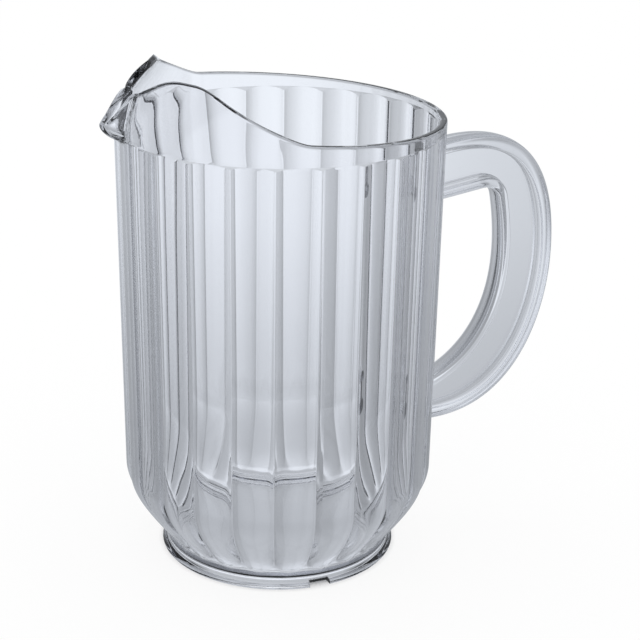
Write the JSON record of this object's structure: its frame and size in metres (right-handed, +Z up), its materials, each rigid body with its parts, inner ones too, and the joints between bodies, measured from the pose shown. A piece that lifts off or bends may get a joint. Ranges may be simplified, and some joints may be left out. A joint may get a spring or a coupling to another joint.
{
  "type": "beer pitcher",
  "caption": "Clear plastic pitcher with a reeded wall, a pinched pouring spout between raised horns, a foot ring and a D-shaped handle with rails and a thin web.",
  "frame": {"origin": "on the vessel's axis, in the plane of the table that the foot ring stands on", "axes": "+Z up along the vessel's axis; +X towards the handle and -X towards the spout"},
  "size_m": [0.2011, 0.1334, 0.2094],
  "materials": {
    "clear_plastic": "gloss"
  },
  "bodies": {
    "root": {"reeded_wall": "clear_plastic", "pouring_collar": "clear_plastic", "floor_plate": "clear_plastic", "foot_ring": "clear_plastic", "handle": "clear_plastic"}
  },
  "joints": []
}
